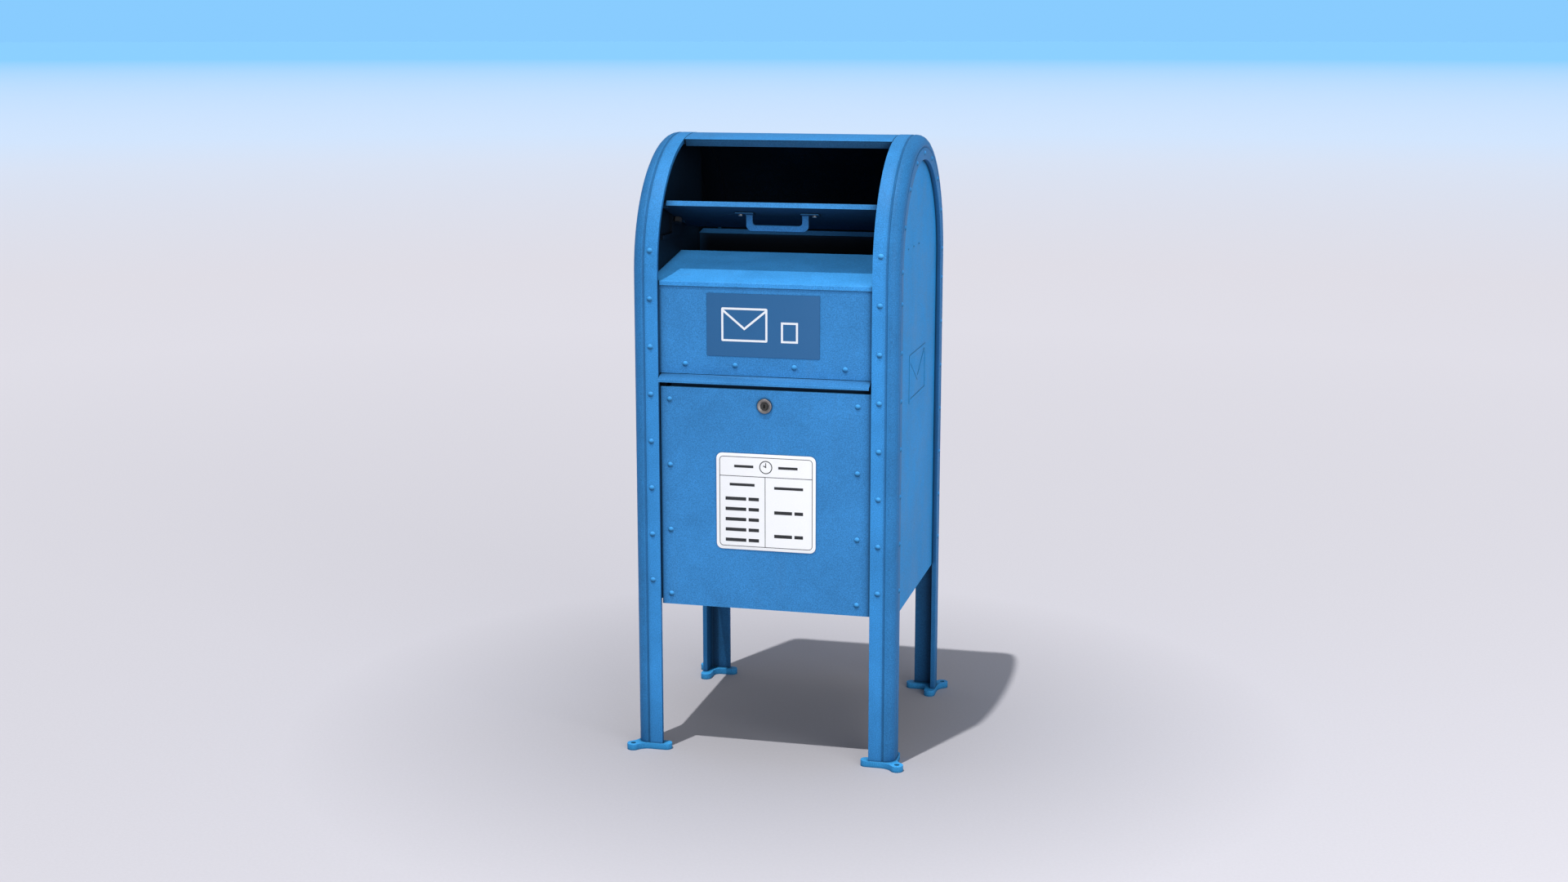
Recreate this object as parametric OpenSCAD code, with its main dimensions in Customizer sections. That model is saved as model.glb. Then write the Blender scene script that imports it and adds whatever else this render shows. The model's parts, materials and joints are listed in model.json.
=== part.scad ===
// Street letter collection box: two rolled angle arches stand on four cast
// feet and carry sheet panels, a tilting hopper door and a side-hung
// collection door with a cam lock. +Z up, front towards -Y, floor at z = 0.

/* [Overall] */
// overall width across the arches
body_w = 546; // [450:1:650]
// overall height to the crown of the arches
total_h = 1270; // [1000:5:1500]
// bottom edge of the side panels
side_bottom = 305; // [200:1:400]
// sheet thickness of panels and skins
sheet = 2; // [1.2:0.1:3]

/* [Arches] */
// thickness of the rolled angle
frame_t = 10; // [6:0.5:14]
// width of the front and top flange
face_flange = 53.5; // [40:0.5:70]
// width of the side flange
side_flange = 50; // [35:0.5:70]
// radius of the corner bead
bead_r = 21; // [12:0.5:28]
// width of the groove beside the bead
groove_w = 6; // [3:0.5:9]
// depth of the groove beside the bead
groove_d = 2.5; // [1:0.25:4]

/* [Rivets] */
// radius of a rivet head
head_r = 5.9; // [4:0.1:8]
// height of a rivet head
head_h = 3; // [1.5:0.1:5]
// radius of a rivet shank
shank_r = 2.5; // [2:0.1:4]
// height of the lowest rivets
rivet_z0 = 367; // [340:1:420]
// spacing of the rivets up a leg
rivet_pitch = 97.2; // [80:0.1:120]

/* [Feet] */
// thickness of a cast foot
foot_h = 13; // [10:1:20]
// width of the arms of a foot
arm_w = 24; // [18:1:36]
// distance of an anchor hole out from the body corner, each way
anchor_out = 8; // [8:1:20]
// radius of an anchor hole
anchor_r = 5.5; // [4:0.5:7]

/* [Front] */
// top edge of the collection door
door_top = 772; // [700:1:820]
// bottom edge of the collection door
door_bottom = 316; // [250:1:360]
// bottom edge of the upper front panel
panel_bottom = 800; // [780:1:850]
// height of the sill's front edge
sill_z = 987; // [930:1:1010]
// rise of the sill towards the back, degrees
sill_rise = 9.3; // [0:0.1:15]
// depth of the sill, front to back along its slope
sill_len = 234; // [180:1:260]

/* [Hopper door] */
// height of the pivot axis
pivot_z = 1094; // [1060:1:1110]
// distance of the pivot axis in front of the centre line
pivot_front = 60; // [40:1:80]
// tilt of the open door, degrees
door_tilt = 16.4; // [10:0.1:30]
// length of the door from the pivot to its lip
lip_len = 156; // [140:1:170]
// length of the door behind the pivot
tail_len = 60; // [40:1:62]
// thickness of the door over its folded edges
door_t = 10; // [6:1:14]

/* [Lock] */
// height of the lock's centre
lock_z = 740; // [700:1:750]
// radius of the lock's face ring
ring_r = 15; // [12:0.5:20]

/* [Hidden] */
$fn = 96;
eps = 0.01;
hw = body_w / 2;
crown_r = body_w / 2;
crown_z = total_h - crown_r;
gap_x = hw - face_flange;
panel_y = crown_r - frame_t;
door_hw = gap_x - 1.2;
crown_edge = 74.5;
liner_x = 240;
lip_hw = gap_x - 1.5;
wide_hw = 232;
axle_r = 4;
hinge_x = -208;
hinge_y = -254.5;
rail_y = -246.5;
lip_t = door_t / 2;
leg_rivets = 8;

// ---------- shared shapes ----------

// cross-section of an arch as [distance from centre line, radius] points
function frame_profile() = concat(
  [[gap_x, crown_r], [hw - bead_r - groove_w, crown_r],
   [hw - bead_r - groove_w / 2, crown_r - groove_d]],
  [for (a = [90:-11.25:0])
    [hw - bead_r + bead_r * cos(a), crown_r - bead_r + bead_r * sin(a)]],
  [[hw - groove_d, crown_r - bead_r - groove_w / 2],
   [hw, crown_r - bead_r - groove_w], [hw, crown_r - side_flange],
   [hw - frame_t, crown_r - side_flange],
   [hw - frame_t, crown_r - frame_t], [gap_x, crown_r - frame_t]]);

// turns a [radius, offset] profile about the crown's cross axis
module crown_sweep(points, sweep) {
  translate([0, 0, crown_z])
    rotate([90, 0, 90])
      rotate_extrude(angle = sweep)
        polygon(points);
}

// pushes a [y, z] outline along the width
module across(x0, x1, points) {
  translate([x0, 0, 0])
    rotate([90, 0, 90])
      linear_extrude(x1 - x0)
        polygon(points);
}

// block between two corners
module block(a, b) {
  translate(a)
    cube([b[0] - a[0], b[1] - a[1], b[2] - a[2]]);
}

// local frame at an angle up the front of the crown: y tangent, z outward
module at_crown(phi) {
  translate([0, 0, crown_z])
    rotate([90 - phi, 0, 0])
      children();
}

// cylinder along +Y
module rod_y(r, y0, y1) {
  translate([0, y0, 0])
    rotate([-90, 0, 0])
      cylinder(r = r, h = y1 - y0);
}

// cylinder along +X
module rod_x(r, x0, x1) {
  translate([x0, 0, 0])
    rotate([0, 90, 0])
      cylinder(r = r, h = x1 - x0);
}

// domed rivet along +Z: head above z = 0, shank and upset end below
module rivet(grip) {
  ball_r = (head_r * head_r + head_h * head_h) / (2 * head_h);
  intersection() {
    translate([0, 0, head_h - ball_r])
      sphere(r = ball_r);
    cylinder(r = head_r + 1, h = head_h + 1);
  }
  translate([0, 0, -grip - 1.5])
    cylinder(r = shank_r, h = grip + 1.6);
  translate([0, 0, -grip - 1.5])
    cylinder(r = shank_r + 1.5, h = 1.5);
}

// ---------- where the fasteners sit ----------

// heads face out of the front and rear flanges, all four legs
module at_face_rivets() {
  for (sx = [-1, 1], face = [0, 180])
    rotate([0, 0, face])
      translate([sx * (gap_x + 16.3), 0, 0]) {
        for (i = [0:leg_rivets - 2])
          translate([0, -crown_r, rivet_z0 + i * rivet_pitch])
            rotate([90, 0, 0])
              children();
        at_crown(10.5)
          translate([0, 0, crown_r])
            children();
      }
}

// heads face out of the side flanges: up both legs and round the crown
module at_side_rivets() {
  rivet_rad = crown_r - 37;
  for (sx = [0, 1])
    mirror([sx, 0, 0]) {
      for (sy = [-1, 1], i = [0:leg_rivets - 2])
        translate([hw, sy * rivet_rad, rivet_z0 + i * rivet_pitch])
          rotate([0, 90, 0])
            children();
      for (a = [4:21.5:176])
        translate([hw, rivet_rad * cos(a), crown_z + rivet_rad * sin(a)])
          rotate([0, 90, 0])
            children();
    }
}

// row that ties each side panel to the pivot bracket's wall
module at_row_rivets() {
  for (sx = [0, 1], y = [-120:60:0])
    mirror([sx, 0, 0])
      translate([hw - frame_t, y, 1049])
        rotate([0, 90, 0])
          children();
}

module at_ledge_rivets() {
  for (x = [-165, -61, 61, 165])
    translate([x, -panel_y, 820])
      rotate([90, 0, 0])
        children();
}

module at_door_rivets() {
  for (x = [-199, 191], z = [338:136:746])
    translate([x, -panel_y, z])
      rotate([90, 0, 0])
        children();
}

module rivet_holes() {
  translate([0, 0, -30])
    cylinder(r = shank_r, h = 31);
}

// ---------- arches and feet ----------

module arch() {
  side = frame_profile();
  difference() {
    union() {
      translate([0, 0, foot_h])
        linear_extrude(crown_z - foot_h)
          polygon([for (p = side) [p[0], -p[1]]]);
      translate([0, 0, foot_h])
        linear_extrude(crown_z - foot_h)
          polygon([for (p = side) [p[0], p[1]]]);
      crown_sweep([for (p = side) [p[1], p[0]]], 180);
    }
    at_face_rivets()
      rivet_holes();
    at_side_rivets()
      rivet_holes();
  }
}

module arch_right() {
  color("#3b86d0")
    arch();
}

module arch_left() {
  color("#3b86d0")
    mirror([1, 0, 0])
      arch();
}

// points along an arc
function arc(centre, r, from, to, n = 14) =
  [for (i = [0:n])
    centre + r * [cos(from + (to - from) * i / n),
                  sin(from + (to - from) * i / n)]];

// one arm of a foot, from its inner edge round its end, along a hollow
// flank and out to the tip of the corner lobe
function foot_flank(mid, end, lobe, arm_r, lobe_r, hollow_r) =
  let (rise = lobe - mid - arm_r - hollow_r,
       run = sqrt(pow(lobe_r + hollow_r, 2) - rise * rise),
       turn = atan2(rise, run))
  concat(
    arc([end, mid], arm_r, 270, 90),
    arc([lobe - run, lobe - rise], hollow_r, 270, 360 + turn, 8),
    arc([lobe, lobe], lobe_r, 180 + turn, 45, 10));

// cast foot for the corner at +x, +y: an arm under each of the angle's
// flanges and a lobe outside the corner with the anchor hole
module foot() {
  mid = hw - frame_t;
  lobe = hw + anchor_out;
  arm_r = arm_w / 2;
  inner = mid - arm_r;
  flank = foot_flank(mid, gap_x - 5.5, lobe, arm_r, 13, 30);
  outline = concat(
    flank,
    [for (i = [len(flank) - 2:-1:0]) [flank[i][1], flank[i][0]]],
    arc([inner - 15, inner - 15], 15, 0, 90, 6));
  difference() {
    linear_extrude(foot_h)
      polygon(outline);
    translate([lobe, lobe, -1])
      cylinder(r = anchor_r, h = foot_h + 2);
  }
}

module foot_rear_right() {
  color("#347fca")
    foot();
}

module foot_rear_left() {
  color("#347fca")
    mirror([1, 0, 0])
      foot();
}

module foot_front_right() {
  color("#347fca")
    mirror([0, 1, 0])
      foot();
}

module foot_front_left() {
  color("#347fca")
    mirror([1, 0, 0])
      mirror([0, 1, 0])
        foot();
}

// ---------- body panels ----------

// envelope outline pressed into the side panel
module envelope_bead(x0, x1) {
  w = 190;
  h = 100;
  rib = 8;
  mid_z = 776;
  translate([x0, 0, mid_z]) {
    difference() {
      block([0, -w / 2, -h / 2], [x1 - x0, w / 2, h / 2]);
      block([-1, -w / 2 + rib, -h / 2 + rib],
            [x1 - x0 + 1, w / 2 - rib, h / 2 - rib]);
    }
    for (s = [0, 1])
      mirror([0, s, 0])
        intersection() {
          block([0, 0, -h / 2 + 1], [x1 - x0, w / 2 - 1, h / 2 - 1]);
          translate([0, w / 2, h / 2])
            rotate([30, 0, 0])
              block([0, -w, -rib], [x1 - x0, w, 0]);
        }
  }
}

// hollow web below the panel, against the side flange of the front leg
module gusset(depth, drop, front) {
  leg_y = side_flange - crown_r;
  curve = [for (a = [0:7.5:90])
    [leg_y + depth * (1 - cos(a)), side_bottom - drop * (1 - sin(a))]];
  across(hw - frame_t - sheet, hw - frame_t,
    concat([[leg_y + depth, side_bottom + 1], [-front, side_bottom + 1],
            [-front, side_bottom - drop]], curve));
}

module side_panel() {
  r_in = crown_r - frame_t - 0.2;
  difference() {
    union() {
      block([hw - frame_t - sheet, -r_in, side_bottom],
            [hw - frame_t, r_in, crown_z]);
      intersection() {
        translate([0, 0, crown_z])
          rod_x(r_in, hw - frame_t - sheet, hw - frame_t);
        block([0, -r_in - 1, crown_z - 1], [hw, r_in + 1, total_h]);
      }
      gusset(44, 78, r_in);
      envelope_bead(hw - frame_t - 0.1, hw - frame_t + 1.2);
    }
    at_side_rivets()
      rivet_holes();
    at_row_rivets()
      rivet_holes();
  }
}

module side_panel_right() {
  color("#3a82c8")
    side_panel();
}

module side_panel_left() {
  color("#3a82c8")
    mirror([1, 0, 0])
      side_panel();
}

// one sheet up the back and over the top, stepped down at both edges
// so that the edges lie under the arches
module back_skin() {
  top = crown_r - 0.5;
  low = crown_r - frame_t;
  half = gap_x - 1;
  lap = hw - frame_t - sheet - 1;
  profile = [[low - sheet, -lap], [low, -lap], [low, -half], [top, -half],
    [top, half], [low, half], [low, lap], [low - sheet, lap],
    [low - sheet, half - sheet], [top - sheet, half - sheet],
    [top - sheet, sheet - half], [low - sheet, sheet - half]];
  color("#3f8cd6")
    difference() {
      union() {
        crown_sweep(profile, 180 - crown_edge);
        translate([0, 0, side_bottom])
          linear_extrude(crown_z - side_bottom)
            polygon([for (p = profile) [p[1], p[0]]]);
      }
      at_face_rivets()
        rivet_holes();
    }
}

// folded edge under the front of the crown
module crown_hem() {
  half = gap_x - 1 - sheet - 0.3;
  color("#2f6fb5")
    at_crown(crown_edge) {
      block([-half, 0, crown_r - 16], [half, 3, crown_r - 2.6]);
      block([-half, 3 - eps, crown_r - 6.6], [half, 26, crown_r - 4.6]);
    }
}

module upper_front_panel() {
  half = hw - frame_t - sheet - 3;
  color("#3d8ad4")
    difference() {
      block([-half, -panel_y, panel_bottom],
            [half, sheet - panel_y, sill_z - 4]);
      at_face_rivets()
        rivet_holes();
      at_ledge_rivets()
        rivet_holes();
    }
}

// shelf under the hopper opening: folded over the panel's top edge and
// turned down at the back
module sill_plate() {
  half = liner_x - 0.3;
  front = -panel_y - sheet;
  run = sill_len * cos(sill_rise);
  rise = sill_len * sin(sill_rise);
  drop = sheet / cos(sill_rise);
  color("#4a97de")
    difference() {
      translate([0, front, sill_z])
        across(-half, half,
          [[0, 0], [run, rise], [run, rise - 26], [run - sheet, rise - 26],
           [run - sheet, rise - drop - sheet * tan(sill_rise)],
           [sheet, sheet * tan(sill_rise) - drop], [sheet, -9], [0, -9]]);
      for (s = [0, 1])
        mirror([s, 0, 0])
          block([gap_x - 1.5, front - 1, sill_z - 10],
                [liner_x, front + 6, sill_z + 10]);
    }
}

// sloping drip ledge above the collection door
module drip_ledge() {
  back = 1.8 - panel_y + sheet;
  half = gap_x - 2.5;
  color("#3b86d0")
    difference() {
      across(-half, half,
        [[sheet - panel_y, 832], [back, 832], [back, 797.5], [-283, 787.3],
         [-283, 784], [-285, 784], [-285, 789.3],
         [sheet - panel_y, 799.8]]);
      at_ledge_rivets()
        rivet_holes();
    }
}

// rail behind the ledge: the collection door closes against its lower leg
module header_rail() {
  front = 1.8 - panel_y + sheet;
  color("#2c69ab")
    difference() {
      across(-200, gap_x - 2,
        [[front, 832], [front + sheet, 832], [front + sheet, 797],
         [rail_y + sheet, 797], [rail_y + sheet, 752], [rail_y, 752],
         [rail_y, 795], [front, 795]]);
      at_ledge_rivets()
        rivet_holes();
    }
}

// post that carries the collection door's hinges
module hinge_post() {
  color("#2c69ab")
    difference() {
      union() {
        block([-258, -panel_y, 322], [-224, sheet - panel_y, 790]);
        block([-226, -panel_y, 322], [-224, -241, 790]);
        block([-226, -243, 322], [hinge_x - 5, -241, 790]);
        block([hinge_x - 7, -243, 322], [hinge_x - 5, -222, 790]);
      }
      at_face_rivets()
        rivet_holes();
    }
}

// post the free edge of the collection door closes against
module strike_post() {
  color("#2c69ab")
    difference() {
      union() {
        block([222, -panel_y, 322], [258, sheet - panel_y, 790]);
        block([222, -panel_y, 322], [224, -245.5, 750]);
        block([205, -247.5, 322], [224, -245.5, 750]);
        block([205, -247.5, 322], [207, -232, 750]);
      }
      at_face_rivets()
        rivet_holes();
    }
}

module bottom_rail() {
  color("#2c69ab") {
    block([-200, rail_y, 317], [203, rail_y + sheet, 340]);
    block([-200, rail_y, 322], [203, -200, 324]);
  }
}

// pan across the bottom, with four drain holes
module floor_panel() {
  half = hw - frame_t - sheet - 0.2;
  color("#2c69ab")
    difference() {
      block([-half, -220, side_bottom + 9], [half, 260.8, 322]);
      block([-half + sheet, -220 + sheet, side_bottom],
            [half - sheet, 260.8 - sheet, 320]);
      for (x = [-150, 150], y = [-120, 140])
        translate([x, y, 300])
          cylinder(r = 6, h = 30);
    }
}

// ---------- collection door ----------

module collection_door() {
  color("#3d8ad4")
    difference() {
      union() {
        block([-door_hw, -panel_y, door_bottom],
              [door_hw, sheet - panel_y, door_top]);
        block([-200, -panel_y, door_top - sheet], [door_hw, -248.5, door_top]);
        block([-200, -panel_y, door_bottom],
              [door_hw, -248.5, door_bottom + sheet]);
        block([door_hw - sheet, -panel_y, door_bottom],
              [door_hw, -248.5, door_top]);
      }
      at_door_rivets()
        rivet_holes();
      translate([0, 0, lock_z])
        rod_y(11, -270, -250);
    }
}

// channel behind the free edge of the door
module door_stiffener() {
  color("#2c69ab")
    difference() {
      block([180, sheet - panel_y, 322], [202, -250, 766]);
      block([182, sheet * 2 - panel_y, 321], [200, -240, 767]);
      at_door_rivets()
        rivet_holes();
    }
}

module at_hinges() {
  for (z = [360, 544, 728])
    translate([hinge_x, hinge_y, z])
      children();
}

// outer knuckles and the leaf fixed to the post
module hinge_frame_leaves() {
  color("#9a9da1")
    at_hinges()
      for (s = [0, 1])
        mirror([0, 0, s])
          difference() {
            union() {
              translate([0, 0, 10.2])
                cylinder(r = 4.5, h = 19.8);
              block([-5, 0, 10.2], [-3, 30, 30]);
            }
            translate([0, 0, 5])
              cylinder(r = 2.5, h = 30);
          }
}

// middle knuckles on one long leaf riveted behind the door's skin
module hinge_door_leaves() {
  color("#9a9da1")
    difference() {
      union() {
        at_hinges() {
          translate([0, 0, -9.8])
            cylinder(r = 4.5, h = 19.6);
          block([0, -6.5, -9.8], [12, -4, 9.8]);
        }
        block([hinge_x + 3, -panel_y + sheet, 322],
              [hinge_x + 24, -panel_y + sheet + 2, 766]);
      }
      at_hinges()
        translate([0, 0, -20])
          cylinder(r = 2.55, h = 40);
      at_door_rivets()
        rivet_holes();
    }
}

module hinge_pins() {
  color("#85888c")
    at_hinges() {
      translate([0, 0, -30])
        cylinder(r = 2.5, h = 60);
      translate([0, 0, 30])
        cylinder(r = 3.6, h = 1.5);
      translate([0, 0, -31.5])
        cylinder(r = 3.6, h = 1.5);
    }
}

// ---------- lock ----------

module lock_body() {
  color("#8f9296")
    translate([0, 0, lock_z])
      difference() {
        union() {
          rod_y(ring_r, -267, -265);
          rod_y(ring_r - 1.5, -265, -panel_y);
          rod_y(11, -panel_y - 1, -245);
        }
        rod_y(7.6, -268, -240);
      }
}

module lock_nut() {
  color("#8f9296")
    translate([0, 0, lock_z])
      difference() {
        translate([0, sheet - panel_y, 0])
          rotate([-90, 0, 0])
            cylinder(r = 15, h = 4, $fn = 6);
        rod_y(11, -262, -250);
      }
}

// turns with the key; the keyway is open at the front
module lock_plug() {
  color("#55575a")
    translate([0, 0, lock_z])
      difference() {
        union() {
          rod_y(7.55, -266.5, -243.5);
          rod_y(3, -243.6, -238.5);
        }
        block([-1.2, -268, -4], [1.2, -258, 4]);
      }
}

module lock_cam() {
  color("#a5a8ac")
    translate([0, 0, lock_z])
      difference() {
        union() {
          rod_y(8, -243.5, -241);
          block([0, -243.5, -8], [22, -241, 8]);
          translate([22, 0, 0])
            rod_y(8, -243.5, -241);
        }
        rod_y(3, -250, -230);
      }
}

// ---------- hopper ----------

// wall beside the hopper, with a flange behind the arch
module liner() {
  flange = [[250, liner_x], [panel_y - sheet, liner_x],
    [panel_y - sheet, gap_x + 2.5], [panel_y, gap_x + 2.5],
    [panel_y, liner_x + sheet], [250, liner_x + sheet]];
  difference() {
    union() {
      intersection() {
        block([liner_x, -260.5, 890], [liner_x + sheet, 125, total_h]);
        union() {
          block([0, -261, 880], [hw, 261, crown_z]);
          translate([0, 0, crown_z])
            rod_x(crown_r - frame_t - sheet - 0.3, 0, hw);
        }
      }
      block([liner_x, -panel_y + sheet, 890],
            [liner_x + 14, -259, sill_z - 4]);
      translate([0, 0, sill_z - 3])
        linear_extrude(crown_z - sill_z + 3.5)
          polygon([for (p = flange) [p[1], -p[0]]]);
      mirror([0, 1, 0])
        crown_sweep(flange, 70);
    }
    at_face_rivets()
      rivet_holes();
    translate([0, -pivot_front, pivot_z])
      rod_x(axle_r, 200, hw);
  }
}

module liner_right() {
  color("#2f74bb")
    liner();
}

module liner_left() {
  color("#2f74bb")
    mirror([1, 0, 0])
      liner();
}

// local frame of the open hopper door: y runs back from the pivot axis
// along the door, z runs out of its upper face
module on_door() {
  translate([0, -pivot_front, pivot_z])
    rotate([-door_tilt, 0, 0])
      children();
}

// bracket on the liner: arm, cheek round the pivot and the ear under the
// rest pad
module pivot_bracket() {
  difference() {
    union() {
      block([234, -176, 1060], [liner_x, -pivot_front, 1069]);
      block([234, -pivot_front - 52, 1060],
            [liner_x, 14 - pivot_front, pivot_z + 14]);
      on_door()
        block([220, -46, -19], [liner_x, -26, -15]);
    }
    translate([0, -pivot_front, pivot_z])
      rod_x(axle_r, 200, hw);
  }
}

module pivot_bracket_right() {
  color("#2c69ab")
    pivot_bracket();
}

module pivot_bracket_left() {
  color("#2c69ab")
    mirror([1, 0, 0])
      pivot_bracket();
}

module pivot_pins() {
  color("#85888c")
    for (s = [0, 1])
      mirror([s, 0, 0])
        translate([0, -pivot_front, pivot_z]) {
          rod_x(axle_r, 224, liner_x + sheet + 0.1);
          rod_x(7, liner_x + sheet, liner_x + sheet + 4);
        }
}

// channels between the hopper walls and the side panels
module wall_braces() {
  color("#2c69ab")
    for (s = [0, 1])
      mirror([s, 0, 0])
        difference() {
          block([liner_x + sheet, -135, 1040], [261, 15, 1058]);
          block([liner_x + sheet - 1, -136, 1042], [259, 16, 1056]);
          at_row_rivets()
            rivet_holes();
        }
}

module rest_pads() {
  color("#26282b")
    for (s = [0, 1])
      mirror([s, 0, 0])
        on_door()
          block([221, -44, -15], [231, -28, -lip_t - 0.3]);
}

// outer half of the tilting door: a shallow pan whose front corners are
// stepped in so that the lip fits between the arches
module hopper_door_pan() {
  step_y = 26 - lip_len;
  color("#3d8ad4")
    difference() {
      on_door()
        difference() {
          union() {
            block([-lip_hw, -lip_len, -lip_t], [lip_hw, step_y + 1, lip_t]);
            block([-wide_hw, step_y, -lip_t], [wide_hw, tail_len, lip_t]);
            for (s = [0, 1])
              mirror([s, 0, 0])
                rod_x(9, 221, wide_hw);
          }
          block([-lip_hw + sheet, -lip_len + sheet, sheet - lip_t],
                [lip_hw - sheet, step_y + 2, lip_t + 1]);
          block([-wide_hw + sheet, step_y + sheet, sheet - lip_t],
                [wide_hw - 12, tail_len - sheet, lip_t + 1]);
          for (s = [0, 1])
            mirror([s, 0, 0])
              rod_x(axle_r + 0.05, 223.5, wide_hw + 5);
        }
      at_handle_screws()
        translate([0, 0, -20])
          cylinder(r = 2.5, h = 20 + sheet + 1);
    }
}

// upper sheet of the door, which the letters slide down
module hopper_door_cover() {
  step_y = 26 - lip_len;
  color("#3a82c8")
    on_door()
      difference() {
        union() {
          block([-lip_hw + sheet + 0.2, -lip_len + sheet + 0.2, lip_t - 2.2],
                [lip_hw - sheet - 0.2, step_y + sheet + 2, lip_t - 0.2]);
          block([-219, step_y + sheet + 0.2, lip_t - 2.2],
                [219, tail_len - sheet - 0.2, lip_t - 0.2]);
        }
        block([-240, -12, -20], [-209, 12, 20]);
        block([209, -12, -20], [240, 12, 20]);
      }
}

// frames of the two handle screws, z into the door
module at_handle_screws() {
  for (x = [-77, 77])
    on_door()
      translate([x, -97, -lip_t])
        children();
}

// bent bar handle, hanging upright under the open door
module hopper_handle() {
  half = 65;
  bar_z = 1079.5;
  bar_h = 13.5;
  leg_top = 1114.5;
  color("#4a97de") {
    translate([0, -151, 0])
      rotate([90, 0, 0])
        linear_extrude(6)
          polygon([[-half, leg_top], [-half, bar_z + 8], [8 - half, bar_z],
            [half - 8, bar_z], [half, bar_z + 8], [half, leg_top],
            [half - bar_h, leg_top], [half - bar_h, bar_z + bar_h + 4],
            [half - bar_h - 4, bar_z + bar_h],
            [bar_h + 4 - half, bar_z + bar_h],
            [bar_h - half, bar_z + bar_h + 4], [bar_h - half, leg_top]]);
    difference() {
      on_door()
        for (s = [0, 1])
          mirror([s, 0, 0])
            block([half - bar_h - 3, -106, -lip_t - 3.4], [88, -88, -lip_t]);
      at_handle_screws()
        translate([0, 0, -10])
          cylinder(r = 2.5, h = 11);
    }
  }
}

module handle_screws() {
  color("#9a9da1")
    at_handle_screws() {
      translate([0, 0, -6.4])
        cylinder(r = 4.5, h = 3);
      translate([0, 0, -4])
        cylinder(r = 2.5, h = 8.5);
      translate([0, 0, sheet])
        cylinder(r = 4.4, h = 3, $fn = 6);
    }
}

// plate behind the drop that keeps hands and hooks off the letters
module rear_baffle() {
  half = liner_x - 0.3;
  color("#2f74bb") {
    block([-half, 109, 900], [half, 109 + sheet, 1050]);
    difference() {
      block([-half, 104, 1048], [half, 109 + sheet, 1058]);
      for (s = [0, 1])
        mirror([s, 0, 0])
          translate([half - 9, 100, 1058])
            rotate([0, 45, 0])
              cube([20, 20, 20]);
    }
    for (s = [0, 1])
      mirror([s, 0, 0])
        block([half - sheet, 109, 900], [half, 122, 1040]);
  }
}

// ---------- rivets and plates ----------

module face_rivets() {
  color("#4796df")
    at_face_rivets()
      rivet(frame_t + sheet);
}

module side_rivets() {
  color("#4796df") {
    at_side_rivets()
      rivet(frame_t + sheet);
    at_row_rivets()
      scale([0.7, 0.7, 0.7])
        rivet(sheet * 2 / 0.7);
  }
}

module ledge_rivets() {
  color("#4796df")
    at_ledge_rivets()
      rivet(sheet * 2 + 1.8);
}

module door_rivets() {
  color("#4796df")
    at_door_rivets()
      rivet(sheet * 2);
}

module mail_label() {
  color("#2a5f9c")
    block([-119, -panel_y - 0.8, 839], [113, -panel_y, 965]);
}

module schedule_plate() {
  color("#f0f2f4")
    union() {
      block([-101, -panel_y - 1.2, 453], [106, -panel_y, 629]);
      block([-89, -panel_y - 1.2, 441], [94, -panel_y, 641]);
      for (x = [-89, 94], z = [453, 629])
        translate([x, 0, z])
          rod_y(12, -panel_y - 1.2, -panel_y);
    }
}

arch_left();
arch_right();
foot_front_left();
foot_front_right();
foot_rear_left();
foot_rear_right();
side_panel_left();
side_panel_right();
back_skin();
crown_hem();
upper_front_panel();
sill_plate();
drip_ledge();
header_rail();
hinge_post();
strike_post();
bottom_rail();
floor_panel();
collection_door();
door_stiffener();
hinge_frame_leaves();
hinge_door_leaves();
hinge_pins();
lock_body();
lock_nut();
lock_plug();
lock_cam();
liner_left();
liner_right();
pivot_bracket_left();
pivot_bracket_right();
wall_braces();
pivot_pins();
hopper_door_pan();
hopper_door_cover();
hopper_handle();
handle_screws();
rest_pads();
rear_baffle();
face_rivets();
side_rivets();
ledge_rivets();
door_rivets();
mail_label();
schedule_plate();
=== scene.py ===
"""Looks of a street post box: painted steel arches, sheet panels, hopper and collection door.

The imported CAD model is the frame. The arches, rivets, lock face and plates are rebuilt here with
rounded edges, the other CAD parts keep their shape and get softened edges, and every surface gets
a procedural material.
"""

import json
import math

import bmesh
import bpy
import numpy as np
from mathutils import Matrix, Vector


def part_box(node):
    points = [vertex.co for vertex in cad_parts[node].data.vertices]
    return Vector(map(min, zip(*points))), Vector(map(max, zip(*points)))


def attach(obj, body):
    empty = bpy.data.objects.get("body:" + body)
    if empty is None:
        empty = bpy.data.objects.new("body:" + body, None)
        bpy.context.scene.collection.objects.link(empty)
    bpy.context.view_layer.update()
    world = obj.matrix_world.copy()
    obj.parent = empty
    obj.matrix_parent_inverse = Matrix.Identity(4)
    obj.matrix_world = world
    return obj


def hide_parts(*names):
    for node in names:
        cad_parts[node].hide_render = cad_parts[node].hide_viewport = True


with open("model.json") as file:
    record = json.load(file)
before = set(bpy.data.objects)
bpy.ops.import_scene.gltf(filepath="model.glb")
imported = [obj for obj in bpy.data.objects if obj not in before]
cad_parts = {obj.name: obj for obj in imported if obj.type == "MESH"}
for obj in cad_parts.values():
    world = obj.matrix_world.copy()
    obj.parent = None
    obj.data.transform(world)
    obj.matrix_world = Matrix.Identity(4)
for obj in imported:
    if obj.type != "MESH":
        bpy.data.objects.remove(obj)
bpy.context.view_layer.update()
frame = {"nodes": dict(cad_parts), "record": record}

# ---------- sizes, in metres ----------

BOX_MIDDLE = (0.0, 0.0, 0.75)

# arches
FRAME_T = 0.010
SIDE_FLANGE = 0.050
BEAD_R = 0.021
GROOVE_W = 0.006
GROOVE_D = 0.0025
CORNER_R = 0.0012
ROOT_R = 0.0040

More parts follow.
